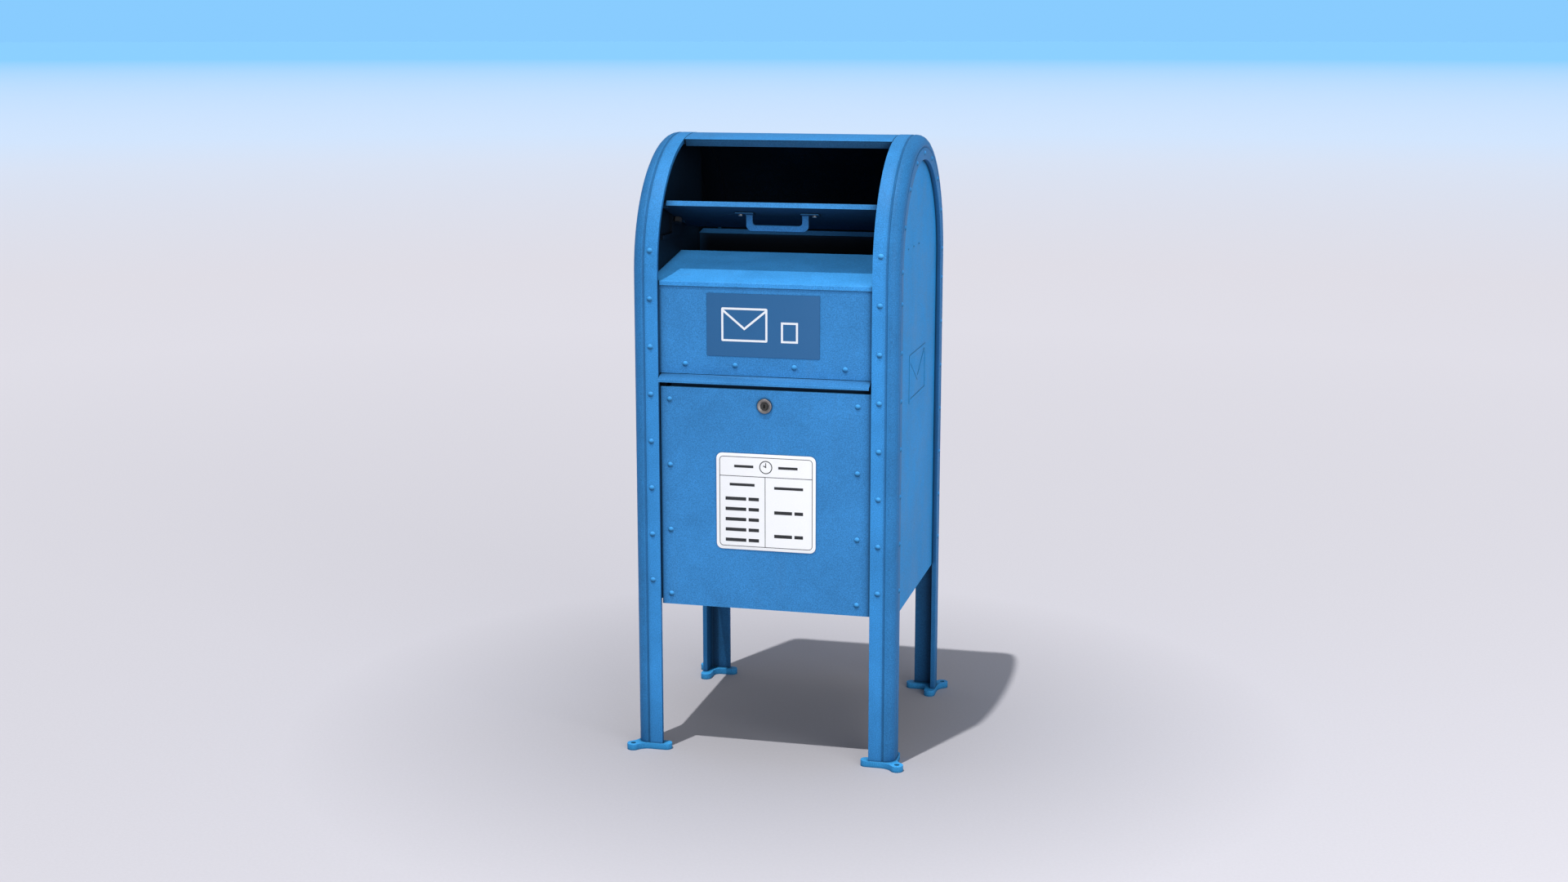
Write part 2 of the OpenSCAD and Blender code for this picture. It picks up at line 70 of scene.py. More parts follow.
# rivets
RIVET_HEAD_R = 0.0059
RIVET_HEAD_H = 0.003
RIVET_SHANK_R = 0.0025
RIVET_TAIL_R = 0.004
RIVET_TAIL_H = 0.0015
DOME_STEPS = 7

# lock
BORE_R = 0.0076
BARREL_R = 0.0110
THREAD_ROOT_R = 0.0104
THREAD_PITCH = 0.0016
THREADS = 9
RING_LIP_R = 0.0016

# printing on the label and the schedule plate
PRINT_T = 0.00015
LABEL_LINE = 0.0042
TABLE_LINE = 0.0012
TABLE_INSET = 0.0065
ROW_HALF_H = 0.0034

# softened edges of CAD parts; sharp edges shorter than SHORT_EDGE are left alone
SHORT_EDGE = 0.0012
SHEET_EDGE_R = 0.0005
CAST_EDGE_R = 0.0020
HANDLE_EDGE_R = 0.0022

FEET = ("foot_front_left", "foot_front_right", "foot_rear_left", "foot_rear_right")
SHEETS = ("side_panel_left", "side_panel_right", "upper_front_panel", "sill_plate", "drip_ledge",
          "collection_door", "crown_hem", "back_skin", "hopper_door_pan", "rear_baffle",
          "pivot_bracket_left", "pivot_bracket_right")

# ---------- camera: angles in degrees, lengths in metres, lens in millimetres ----------

CAMERA_AZIMUTH = 13.741
CAMERA_ELEVATION = 11.341
CAMERA_DISTANCE = 4.4991
CAMERA_AIM = (-0.0511, 0.1101, 0.5937)
CAMERA_LENS = 46.93

# ---------- lighting: places in metres, the sun's width in degrees ----------

SUN_FROM = (-0.5, -1.16, 4.0)
SUN_ENERGY = 2.5
SUN_WIDTH = 1.0
FILL_FROM = (3.2, -3.6, 1.9)
FILL_ENERGY = 105
SILL_LIFT_ENERGY = 1.9

# ---------- colours, linear ----------

BLUE = (0.040, 0.262, 0.620)
BLUE_PANEL = (0.041, 0.230, 0.535)
BLUE_SIDE = (0.016, 0.275, 0.650)
# a lighter blue that paints light onto the feet
BLUE_FOOT_LIT = (0.050, 0.380, 0.820)
BLUE_RIVET = (0.042, 0.255, 0.570)
# a darker blue that paints shade onto the crown hem
BLUE_HEM_SHADE = (0.022, 0.110, 0.240)
# a dark blue that paints shade onto the parts inside the box
BLUE_INNER_SHADE = (0.010, 0.055, 0.130)
# light blue of rubbed edges, which also paints highlights along them
BLUE_WORN_AND_HIGHLIGHT = (0.130, 0.480, 0.860)
# near black painted shade for surfaces that face into the box
INSIDE_SHADE = (0.0030, 0.0065, 0.0120)
GRIME = (0.060, 0.110, 0.160)
LABEL_BLUE = (0.012, 0.115, 0.290)
PRINT_WHITE = (0.84, 0.87, 0.90)
PLATE_WHITE = (0.95, 0.95, 0.95)
PRINT_BLACK = (0.018, 0.019, 0.021)
ZINC = (0.42, 0.43, 0.44)
LOCK_STEEL = (0.27, 0.25, 0.24)
LOCK_DARK = (0.075, 0.072, 0.068)
RUBBER = (0.018, 0.018, 0.019)
RUBBER_DUST = (0.05, 0.05, 0.052)
FLOOR_NEAR = (0.700, 0.690, 0.740)
FLOOR_MID = (0.640, 0.760, 0.920)
FLOOR_FAR = (0.250, 0.600, 1.000)
SKY_BLUE = (0.250, 0.604, 1.000)
SKY_PALE = (0.300, 0.310, 0.340)

# ---------- paint ----------

# noise scales of its patterns, fine to broad
GRAIN_SCALE = 520
PEEL_SCALE = 190
STREAK_SCALE = 26
MOTTLE_SCALE = 13
CLOUD_SCALE = 4.2

# sizes of the hollows that get painted shade, and of the edges that get light rubbed paint with a
# painted highlight, in metres
CREVICE_SIZE = 0.005
CORNER_SIZE = 0.022
RECESS_SIZE = 0.36
EDGE_WEAR_AND_HIGHLIGHT_R = 0.0016


# ---------- shader helpers ----------

def scaled(colour, factor):
    """A colour made lighter or darker by a factor, kept below 1."""
    return tuple(min(1.0, c * factor) for c in colour)


class Shader:
    """A material's node tree with short calls for the nodes used here."""

    def __init__(self, name):
        self.material = bpy.data.materials.new(name)
        self.material.use_nodes = True
        self.tree = self.material.node_tree
        self.bsdf = self.tree.nodes["Principled BSDF"]
        coordinates = self.node("ShaderNodeTexCoord")
        self.place = coordinates.outputs["Object"]
        self.facing = coordinates.outputs["Normal"]

    def node(self, kind, **settings):
        made = self.tree.nodes.new(kind)
        for key, value in settings.items():
            setattr(made, key, value)
        return made

    def link(self, output, socket):
        self.tree.links.new(output, socket)

    def put(self, socket, value):
        """Links an output to a socket, or sets the socket to a number or colour."""
        if isinstance(value, bpy.types.NodeSocket):
            self.link(value, socket)
        elif isinstance(value, tuple) and len(value) == 3 and socket.type == "RGBA":
            socket.default_value = (*value, 1)
        else:
            socket.default_value = value

    def math(self, operation, a, b=0.0, clamp=False):
        made = self.node("ShaderNodeMath", operation=operation, use_clamp=clamp)
        self.put(made.inputs[0], a)
        self.put(made.inputs[1], b)
        return made.outputs[0]

    def noise(self, scale, detail, roughness, stretch=(1, 1, 1), distortion=0.0):
        mapping = self.node("ShaderNodeMapping")
        self.link(self.place, mapping.inputs["Vector"])
        mapping.inputs["Scale"].default_value = stretch
        made = self.node("ShaderNodeTexNoise")
        self.link(mapping.outputs[0], made.inputs["Vector"])
        made.inputs["Scale"].default_value = scale
        made.inputs["Detail"].default_value = detail
        made.inputs["Roughness"].default_value = roughness
        made.inputs["Distortion"].default_value = distortion
        return made.outputs["Fac"]

    def spread(self, value, low, high, to_low=0.0, to_high=1.0):
        """Maps low..high onto to_low..to_high, clamped."""
        made = self.node("ShaderNodeMapRange")
        self.put(made.inputs["Value"], value)
        made.inputs["From Min"].default_value = low
        made.inputs["From Max"].default_value = high
        made.inputs["To Min"].default_value = to_low
        made.inputs["To Max"].default_value = to_high
        return made.outputs["Result"]

    def mix(self, factor, a, b, blend="MIX"):
        made = self.node("ShaderNodeMix", data_type="RGBA", blend_type=blend)
        self.put(made.inputs["Factor"], factor)
        self.put(made.inputs[6], a)
        self.put(made.inputs[7], b)
        return made.outputs[2]

    def times(self, colour, value):
        """Multiplies a colour by a number."""
        grey = self.node("ShaderNodeCombineColor")
        for channel in range(3):
            self.put(grey.inputs[channel], value)
        return self.mix(1.0, colour, grey.outputs[0], "MULTIPLY")

    def part(self, vector, axis):
        """The X, Y or Z of a vector."""
        split = self.node("ShaderNodeSeparateXYZ")
        self.link(vector, split.inputs[0])
        return split.outputs[axis]

    def dot(self, a, b):
        """How far two directions agree."""
        made = self.node("ShaderNodeVectorMath", operation="DOT_PRODUCT")
        self.link(a, made.inputs[0])
        self.link(b, made.inputs[1])
        return made.outputs["Value"]

    def hollows(self, distance, power):
        """1 in the open and towards 0 in corners and hollows of about that size."""
        made = self.node("ShaderNodeAmbientOcclusion", samples=8)
        made.inputs["Distance"].default_value = distance
        return self.math("POWER", made.outputs["AO"], power)

    def paint_shade_in_hollows(self, colour, distance, power, deep):
        """Paints shade: blends a colour towards a deep one in corners and hollows of about that size.
        """
        return self.mix(self.math("SUBTRACT", 1.0, self.hollows(distance, power)), colour, deep)

    def edges(self, radius, gain):
        """Towards 1 along sharp edges and narrow folds."""
        bevel = self.node("ShaderNodeBevel", samples=4)
        bevel.inputs["Radius"].default_value = radius
        geometry = self.node("ShaderNodeNewGeometry")
        turned = self.math("SUBTRACT", 1.0, self.dot(bevel.outputs[0], geometry.outputs["Normal"]))
        return self.math("MULTIPLY", turned, gain, clamp=True)

    def bump(self, height, strength, distance):
        made = self.node("ShaderNodeBump")
        self.link(height, made.inputs["Height"])
        made.inputs["Strength"].default_value = strength
        made.inputs["Distance"].default_value = distance
        self.link(made.outputs[0], self.bsdf.inputs["Normal"])

    def surface(self, colour, roughness, metallic=0.0, specular=0.5):
        self.put(self.bsdf.inputs["Base Color"], colour)
        self.put(self.bsdf.inputs["Roughness"], roughness)
        self.bsdf.inputs["Metallic"].default_value = metallic
        self.bsdf.inputs["Specular IOR Level"].default_value = specular
        return self.material


# ---------- materials ----------

def weathered(s, base, contrast, grain, mottle):
    """Paint colour with grain, mottling, broad clouds and faint rain streaks."""
    clouds = s.noise(CLOUD_SCALE, 3, 0.5)
    streaks = s.noise(STREAK_SCALE, 4, 0.6, stretch=(1, 1, 0.05))
    colour = s.mix(s.spread(grain, 0.36, 0.64), scaled(base, 1 - contrast), scaled(base, 1 + contrast))
    colour = s.times(colour, s.spread(mottle, 0.30, 0.72, 0.88, 1.07))
    colour = s.times(colour, s.spread(clouds, 0.3, 0.7, 0.92, 1.06))
    grime = s.math("MULTIPLY", s.spread(streaks, 0.56, 0.80), s.spread(mottle, 0.40, 0.62))
    return s.mix(s.math("MULTIPLY", grime, 0.20), colour, GRIME)


def facing_in(s):
    """1 on surfaces inside the side panels that face the middle of the box, 0 on all others; it places
    painted shade.
    """
    offset = s.node("ShaderNodeVectorMath", operation="SUBTRACT")
    s.link(s.place, offset.inputs[0])
    offset.inputs[1].default_value = BOX_MIDDLE
    turned_in = s.spread(s.dot(offset.outputs[0], s.facing), 0.0, -0.04)
    panel_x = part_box("side_panel_right")[0].x
    out = s.math("ABSOLUTE", s.part(s.place, "X"))
    within = s.spread(out, panel_x + 0.0015, panel_x + 0.0025, 1.0, 0.0)
    return s.math("MULTIPLY", turned_in, within)


def paint(name, base, edge_wear_and_highlight, shade, inside=0.0, contrast=0.24, painted_light=None):
    """Brushed enamel on steel: painted shade in hollows, light rubbed edges as painted highlights.

    The argument after the base is how far edges go towards that light paint, shade is how light deep
    hollows stay under painted shade, inside is how far surfaces that face into the box go to a near
    black painted shade, and the last argument gives a multiplier that paints light and shade.
    """
    s = Shader(name)
    grain = s.noise(GRAIN_SCALE, 3, 0.75)
    mottle = s.noise(MOTTLE_SCALE, 5, 0.62, distortion=0.4)
    colour = weathered(s, base, contrast, grain, mottle)
    # a multiplier that paints light and shade
    if painted_light:
        colour = s.times(colour, painted_light(s))
    # painted shade in crevices and corners
    colour = s.paint_shade_in_hollows(colour, CREVICE_SIZE, 1.4, scaled(base, 0.16))
    colour = s.paint_shade_in_hollows(colour, CORNER_SIZE, 1.1, scaled(base, 0.30))
    # lighter rubbed edges, which are also painted highlights along every edge
    rubbed_and_highlit_edges = s.math("MULTIPLY", s.edges(EDGE_WEAR_AND_HIGHLIGHT_R, 5.0), s.spread(mottle, 0.25, 0.65, 0.45, 1.0))
    colour = s.mix(s.math("MULTIPLY", rubbed_and_highlit_edges, edge_wear_and_highlight), colour, BLUE_WORN_AND_HIGHLIGHT)
    # painted shade deep in recesses, under the body and inside the box
    deep = s.hollows(RECESS_SIZE, 1.0)
    colour = s.times(colour, s.spread(deep, 0.20, 0.80, shade, 1.0))
    # near black painted shade on surfaces that face into the box
    if inside:
        enclosed = s.math("MULTIPLY", facing_in(s), s.spread(deep, 0.90, 0.60))
        colour = s.mix(s.math("MULTIPLY", enclosed, inside), colour, INSIDE_SHADE)
    height = s.math("ADD", s.math("MULTIPLY", grain, 0.45), s.noise(PEEL_SCALE, 2, 0.5))
    s.bump(height, 0.24, 0.0004)
    return s.surface(colour, s.spread(mottle, 0.3, 0.7, 0.50, 0.64), specular=0.14)


def bead_painted_shade(s):
    """Painted shade: falls from 1 on the front flange to darker over the bead and the side flange."""
    bead_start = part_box("arch_right")[1].x - BEAD_R
    out = s.math("ABSOLUTE", s.part(s.place, "X"))
    return s.spread(out, bead_start - 2 * GROOVE_W, bead_start + 0.003, 1.0, 0.70)


def dome_painted_light(s):
    """Painted highlight on surfaces that look up, painted shade on those that look down."""
    return s.spread(s.part(s.facing, "Z"), -0.35, 0.95, 0.50, 2.00)


def shade_below_top_bar(s):
    """The bar along the top of the baffle keeps its colour, with nearly black painted shade below it.
    """
    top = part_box("rear_baffle")[1].z
    return s.spread(s.part(s.place, "Z"), top - 0.0105, top - 0.0098, 0.02, 1.0)


def printed(name, colour, wear):
    """Enamel or ink with a fine grain and slightly dulled patches."""
    s = Shader(name)
    grain = s.noise(500, 3, 0.7)
    patches = s.noise(22, 4, 0.6)
    dull = scaled(colour, 1 - wear)
    mixed = s.mix(s.spread(grain, 0.3, 0.7), dull, colour)
    mixed = s.mix(s.math("MULTIPLY", s.spread(patches, 0.5, 0.75), wear), mixed, dull)
    s.bump(s.noise(260, 2, 0.5), 0.12, 0.0003)
    return s.surface(mixed, s.spread(patches, 0.3, 0.7, 0.38, 0.52))


def metal(name, colour, rough, scratches):
    """Plated or turned steel with a brushed grain, dull spots and painted shade in its hollows."""
    s = Shader(name)
    brushed = s.noise(900, 2, 0.6, stretch=(1, 1, 0.12))
    spots = s.noise(160, 4, 0.65)
    mixed = s.mix(s.spread(spots, 0.45, 0.75), colour, scaled(colour, 0.55))
    mixed = s.mix(s.math("MULTIPLY", brushed, scratches), mixed, scaled(colour, 1.5))
    # painted shade in small hollows
    mixed = s.paint_shade_in_hollows(mixed, 0.006, 1.3, scaled(colour, 0.2))
    s.bump(brushed, 0.15, 0.0002)
    return s.surface(mixed, s.spread(spots, 0.3, 0.7, rough, rough + 0.16), metallic=0.9)


def rubber(name):
    """Black rubber with pale dust."""
    s = Shader(name)
    dust = s.noise(320, 4, 0.7)
    mixed = s.mix(s.spread(dust, 0.5, 0.8), RUBBER, RUBBER_DUST)
    s.bump(dust, 0.3, 0.0003)
    return s.surface(mixed, s.spread(dust, 0.3, 0.7, 0.72, 0.88))


def floor_material():
    """Pale floor with painted shade round the box, that turns into a pale blue sky far away."""
    s = Shader("floor")
    length = s.node("ShaderNodeVectorMath", operation="LENGTH")
    s.link(s.place, length.inputs[0])
    distance = length.outputs["Value"]
    colour = s.mix(s.spread(distance, 9.0, 26.0), FLOOR_NEAR, FLOOR_MID)
    colour = s.mix(s.spread(distance, 20.0, 110.0), colour, FLOOR_FAR)
    # painted shade round the box
    colour = s.times(colour, s.spread(distance, 0.20, 1.1, 0.60, 0.91))
    colour = s.times(colour, s.spread(distance, 1.1, 6.0, 1.0, 1.12))
    speckle = s.noise(160, 4, 0.8)
    colour = s.times(colour, s.spread(speckle, 0.3, 0.7, 0.95, 1.0))
    return s.surface(colour, 0.95, specular=0.0)


# ---------- mesh helpers ----------

def rounded(corners, steps=6):
    """Turns corners of (x, y, radius) into a closed outline whose corners are arcs."""
    points = []
    for i, (x, y, radius) in enumerate(corners):
        here = Vector((x, y))
        if radius == 0:
            points.append(here)
            continue
        before = (Vector(corners[i - 1][:2]) - here).normalized()
        after = (Vector(corners[(i + 1) % len(corners)][:2]) - here).normalized()
        half = before.angle(after) / 2
        centre = here + (before + after).normalized() * (radius / math.sin(half))
        start = here + before * (radius / math.tan(half)) - centre
        end = here + after * (radius / math.tan(half)) - centre
        sweep = start.angle_signed(end)
        for k in range(steps + 1):
            points.append(centre + Matrix.Rotation(-sweep * k / steps, 2) @ start)
    return points


def box_outline(x0, y0, x1, y1, radius=0.0):
    return rounded([(x0, y0, radius), (x1, y0, radius), (x1, y1, radius), (x0, y1, radius)])


def circle(x, y, radius, segments=40):
    turns = [2 * math.pi * k / segments for k in range(segments)]
    return [Vector((x + radius * math.cos(t), y + radius * math.sin(t))) for t in turns]


def stroke(a, b, width):
    """Outline of a straight line of that width, from a to b."""
    a, b = Vector(a), Vector(b)
    side = (b - a).normalized().orthogonal() * (width / 2)
    return [a + side, b + side, b - side, a - side]


def add_object(name, mesh, material):
    made = bpy.data.objects.new(name, mesh)
    bpy.context.scene.collection.objects.link(made)
    mesh.materials.clear()
    mesh.materials.append(material)
    return made


def finish_mesh(bm, name, sharp_angle=35):
    """Makes a smooth-shaded mesh that keeps edges over sharp_angle degrees sharp."""
    bmesh.ops.recalc_face_normals(bm, faces=bm.faces)
    mesh = bpy.data.meshes.new(name)
    bm.to_mesh(mesh)
    bm.free()
    mesh.shade_smooth()
    mesh.set_sharp_from_angle(angle=math.radians(sharp_angle))
    return mesh


def loft(bm, rings, cap=True):
    """Skins closed rings of points, one after the other."""
    rows = [[bm.verts.new(p) for p in ring] for ring in rings]
    for a, b in zip(rows, rows[1:]):
        for i in range(len(a)):
            j = (i + 1) % len(a)
            bm.faces.new((a[i], a[j], b[j], b[i]))
    if cap:
        bm.faces.new(list(reversed(rows[0])))
        bm.faces.new(rows[-1])


def turned_rings(profile, matrix, segments):
    """Rings of a turned piece: profile holds (radius, height) along the local Z axis."""
    return [[matrix @ Vector((*point, height)) for point in circle(0, 0, radius, segments)]
            for radius, height in profile]


def flat_piece(name, outlines, thickness, material, edge=0.0):
    """Plate in the local XY plane, its underside at z = 0. Inner outlines become holes."""
    curve = bpy.data.curves.new(name, "CURVE")
    curve.dimensions = "2D"
    curve.fill_mode = "BOTH"
    curve.extrude = thickness / 2 - edge
    curve.bevel_depth = edge
    curve.bevel_resolution = 2
    curve.offset = -edge
    for outline in outlines:
        spline = curve.splines.new("POLY")
        spline.points.add(len(outline) - 1)
        spline.use_cyclic_u = True
        for point, (x, y) in zip(spline.points, outline):
            point.co = (x, y, 0, 1)
    source = bpy.data.objects.new(name + "_outline", curve)
    bpy.context.scene.collection.objects.link(source)
    bpy.context.view_layer.update()
    evaluated = source.evaluated_get(bpy.context.evaluated_depsgraph_get())
    mesh = bpy.data.meshes.new_from_object(evaluated)
    bpy.data.objects.remove(source)
    bm = bmesh.new()
    bm.from_mesh(mesh)
    bmesh.ops.remove_doubles(bm, verts=bm.verts, dist=1e-6)
    bmesh.ops.translate(bm, verts=bm.verts, vec=(0, 0, thickness / 2))
    return add_object(name, finish_mesh(bm, name), material)


def on_front(piece, y):
    """Turns a flat piece so that its Y runs up and its face looks to the front, resting at y."""
    piece.data.transform(Matrix.Translation((0, y, 0)) @ Matrix.Rotation(math.pi / 2, 4, "X"))
    return piece


def hand_over(piece, body, slot, *nodes):
    """Rides a new piece on its body and lets it stand for CAD nodes; slot is not used."""
    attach(piece, body)
    if nodes:
        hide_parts(*nodes)


# ---------- arches ----------

def arch_profile(box):
    """Rolled angle in section, as (distance from the centre line, distance from the crown's axis)."""
    inner, outer, radius = box[0].x, box[1].x, box[1].y
    bead = outer - BEAD_R
    under = radius - BEAD_R
    return rounded([
        (inner, radius, CORNER_R),
        (bead - GROOVE_W, radius, 0.0016),
        (bead - GROOVE_W / 2, radius - GROOVE_D, CORNER_R),
        (bead, radius, 0.0010),
        (outer, radius, BEAD_R * 0.93),
        (outer, under, 0.0010),
        (outer - GROOVE_D, under - GROOVE_W / 2, CORNER_R),
        (outer, under - GROOVE_W, 0.0016),
        (outer, radius - SIDE_FLANGE, CORNER_R),
        (outer - FRAME_T, radius - SIDE_FLANGE, CORNER_R),
        (outer - FRAME_T, radius - FRAME_T, ROOT_R),
        (inner, radius - FRAME_T, CORNER_R),
    ], steps=5)


def arch_stations(box, leg_steps=8, crown_steps=72):
    """Path of the arch: (height of the origin, outward y, outward z), front foot to rear foot."""
    bottom, crown_z = box[0].z, box[1].z - box[1].y
    rise = [bottom + (crown_z - bottom) * k / leg_steps for k in range(leg_steps)]
    turn = [math.pi * k / crown_steps for k in range(crown_steps + 1)]
    return ([(z, -1.0, 0.0) for z in rise]
            + [(crown_z, -math.cos(t), math.sin(t)) for t in turn]
            + [(z, 1.0, 0.0) for z in reversed(rise)])


def make_arch(side, sign, material):
    """One arch, lofted along its path; sign is -1 for the left and 1 for the right."""
    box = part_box("arch_right")
    rings = [[Vector((sign * p.x, out_y * p.y, z + out_z * p.y)) for p in arch_profile(box)]
             for z, out_y, out_z in arch_stations(box)]
    bm = bmesh.new()
    loft(bm, rings)
    piece = add_object(f"rolled_arch_{side}", finish_mesh(bm, f"rolled_arch_{side}"), material)
    hand_over(piece, "body", "blue_paint", f"arch_{side}")


# ---------- rivets ----------

def islands(node):
    """The separate solids of a CAD node, each as an array of its corner points."""
    bm = bmesh.new()
    bm.from_mesh(frame["nodes"][node].data)
    bmesh.ops.remove_doubles(bm, verts=bm.verts, dist=1e-6)
    seen, found = set(), []
    for start in bm.verts:
        if start.index in seen:
            continue
        seen.add(start.index)
        group, stack = [], [start]
        while stack:
            vert = stack.pop()
            group.append(vert.co[:])
            for edge in vert.link_edges:
                other = edge.other_vert(vert)
                if other.index not in seen:
                    seen.add(other.index)
                    stack.append(other)
        found.append(np.array(group))
    bm.free()
    return found


def outward_on_face(centre):
    """Direction out of the front, the rear or the crown."""
    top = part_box("arch_right")[1]
    crown_z = top.z - top.y
    return Vector((0, centre.y, max(0.0, centre.z - crown_z))).normalized()


def outward_on_side(centre):
    return Vector((math.copysign(1, centre.x), 0, 0))


def outward_to_front(centre):
    return Vector((0, -1, 0))


def rivet_profile(scale, length):
    """(radius, height) from the tail up to the top of the dome; the head sits on height 0."""
    ball = (RIVET_HEAD_R ** 2 + RIVET_HEAD_H ** 2) / (2 * RIVET_HEAD_H)
    half_angle = math.asin(RIVET_HEAD_R / ball)
    tail = RIVET_HEAD_H - length / scale
    stem = [(RIVET_TAIL_R * 0.92, tail), (RIVET_TAIL_R, tail + 0.0003),
            (RIVET_TAIL_R, tail + RIVET_TAIL_H), (RIVET_SHANK_R, tail + RIVET_TAIL_H),
            (RIVET_SHANK_R, -0.00005), (RIVET_HEAD_R * 1.07, -0.00005)]
    dome = []
    for k in range(DOME_STEPS):
        angle = half_angle * (1 - k / DOME_STEPS)
        dome.append((ball * math.sin(angle), ball * math.cos(angle) - ball + RIVET_HEAD_H))
    return [(r * scale, h * scale) for r, h in stem + dome + [(0.0006, RIVET_HEAD_H)]]


def make_rivets(node, body, outward, material, segments=28):
    """Domed rivets where the solids of a CAD node are, of the same size and length."""
    bm = bmesh.new()
    for points in islands(node):
        centre = Vector(points.mean(0))
        axis = outward(centre)
        along = (points - np.array(centre)) @ np.array(axis)
        across = np.linalg.norm((points - np.array(centre)) - np.outer(along, axis), axis=1)
        scale = across.max() / RIVET_HEAD_R
        seat = centre + axis * (along.max() - RIVET_HEAD_H * scale)
        matrix = Matrix.Translation(seat) @ axis.to_track_quat("Z", "Y").to_matrix().to_4x4()
        profile = rivet_profile(scale, along.max() - along.min())
        loft(bm, turned_rings(profile, matrix, segments))
    piece = add_object(f"domed_{node}", finish_mesh(bm, f"domed_{node}", 50), material)
    hand_over(piece, body, "blue_paint", node)


# ---------- lock ----------

def lock_profile(length, depth, ring_r):
    """(radius, height) of the lock body: barrel up to height 0, then a ring depth high."""
    tail = -length
    profile = [(BORE_R, tail), (BARREL_R - 0.0005, tail), (BARREL_R, tail + 0.0006)]
    for k in range(THREADS):
        base = tail + 0.0010 + k * THREAD_PITCH
        profile += [(BARREL_R, base), (THREAD_ROOT_R, base + THREAD_PITCH / 2)]
    profile += [(BARREL_R, -0.0003), (BARREL_R, 0.00005), (ring_r - 0.0008, 0.00005)]
    for k in range(7):
        turn = math.pi / 2 * k / 6
        profile.append((ring_r - RING_LIP_R + RING_LIP_R * math.cos(turn),
                        depth - RING_LIP_R + RING_LIP_R * math.sin(turn)))
    dish = [(ring_r - 0.0034, depth - 0.0002), (ring_r - 0.0044, depth - 0.0010),
            (BORE_R + 0.0016, depth - 0.0013), (BORE_R + 0.0003, depth - 0.0020),
            (BORE_R, depth - 0.0028)]
    return profile + dish


def make_lock_face(material):
    """Turned ring with a rolled lip and a dished face, on a threaded barrel."""
    low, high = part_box("lock_body")
    centre_z = (low.z + high.z) / 2
    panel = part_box("collection_door")[0].y
    profile = lock_profile(high.y - panel, panel - low.y, (high.x - low.x) / 2)
    matrix = Matrix.Translation((0, panel, centre_z)) @ Matrix.Rotation(math.pi / 2, 4, "X")
    rings = turned_rings(profile, matrix, 56)
    bm = bmesh.new()
    loft(bm, rings + [rings[0]], cap=False)
    bmesh.ops.remove_doubles(bm, verts=bm.verts, dist=1e-7)
    piece = add_object("lock_face", finish_mesh(bm, "lock_face", 40), material)
    hand_over(piece, "collection_door", "lock_metal", "lock_body")


# ---------- label and schedule plate ----------

def place_on(box, x, z):
    """A point of a front plate from its share of the plate's width and height."""
    return box[0].x + (box[1].x - box[0].x) * x, box[0].z + (box[1].z - box[0].z) * z


def frame_outlines(x0, y0, x1, y1, line, radius=0.0):
    """Outer and inner outline of a rectangular frame."""
    inner = max(0.0, radius - line)
    return [box_outline(x0, y0, x1, y1, radius),
            box_outline(x0 + line, y0 + line, x1 - line, y1 - line, inner)]


def print_marks(marks, spacing, plate_y, material, body, slot):
    """Thin printed pieces on a plate, each a little thicker than the one before it.

    The growing thickness keeps crossing lines from lying in one plane.
    """
    for k, (name, outlines) in enumerate(marks):
        piece = flat_piece(name, outlines, PRINT_T * (1 + spacing * k), material)
        hand_over(on_front(piece, plate_y), body, slot)


def envelope_flap(x0, x1, top, fold):
    """Outline of a V-shaped line from the top corners of an envelope down to its fold."""
    half = LABEL_LINE / 2
    left, right, top = x0 + half, x1 - half, top - half
    middle = (x0 + x1) / 2
    down = LABEL_LINE / math.cos(math.atan2(top - fold, middle - left))
    upper = [(left, top), (middle, fold), (right, top)]
    return [Vector(p) for p in upper] + [Vector((x, z - down)) for x, z in reversed(upper)]


def make_label(paint_blue, print_white):
    """Dark blue panel with an envelope and an empty stamp square."""
    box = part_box("mail_label")
    low, high = box
    base = flat_piece("label_panel", [box_outline(low.x, low.z, high.x, high.z, 0.0012)],
                      high.y - low.y, paint_blue, edge=0.0002)
    hand_over(on_front(base, high.y), "body", "label_blue", "mail_label")
    x0, z0 = place_on(box, 0.13, 0.24)
    x1, z1 = place_on(box, 0.54, 0.78)
    square = place_on(box, 0.66, 0.24) + place_on(box, 0.81, 0.57)
    marks = [("label_envelope", frame_outlines(x0, z0, x1, z1, LABEL_LINE, 0.003)),
             ("label_stamp_square", frame_outlines(*square, LABEL_LINE)),
             ("label_envelope_flap", [envelope_flap(x0, x1, z1, z0 + (z1 - z0) * 0.42)])]
    print_marks(marks, 0.3, low.y, print_white, "body", "label_blue")


def clock_marks(x, z):
    """A clock face of radius 13.5 mm with two hands."""
    radius = 0.0135
    return [("schedule_clock", [circle(x, z, radius), circle(x, z, radius - 0.0018)]),
            ("schedule_clock_hour", [stroke((x, z), (x - 0.0052, z + 0.0030), 0.0020)]),
            ("schedule_clock_minute", [stroke((x, z - 0.0010), (x, z + 0.0090), 0.0016)])]


def header_bars(clock_x, clock_z):
    """A bar on each side of the clock."""
    near, far, half = 0.026, 0.066, 0.0026
    return [box_outline(clock_x - far, clock_z - half, clock_x - near, clock_z + half),
            box_outline(clock_x + near, clock_z - half, clock_x + far, clock_z + half)]


def row_of_bars(centre, z, width, heading):
    """One row of the table: a single bar for a heading, or a long and a short block for a time."""
    left, right = centre - width / 2, centre + width / 2
    if heading:
        half = ROW_HALF_H * 0.8
        return [box_outline(left, z - half, right, z + half)]
    split = left + width * 0.62
    return [box_outline(left, z - ROW_HALF_H, split, z + ROW_HALF_H),
            box_outline(split + 0.005, z - ROW_HALF_H, right, z + ROW_HALF_H)]


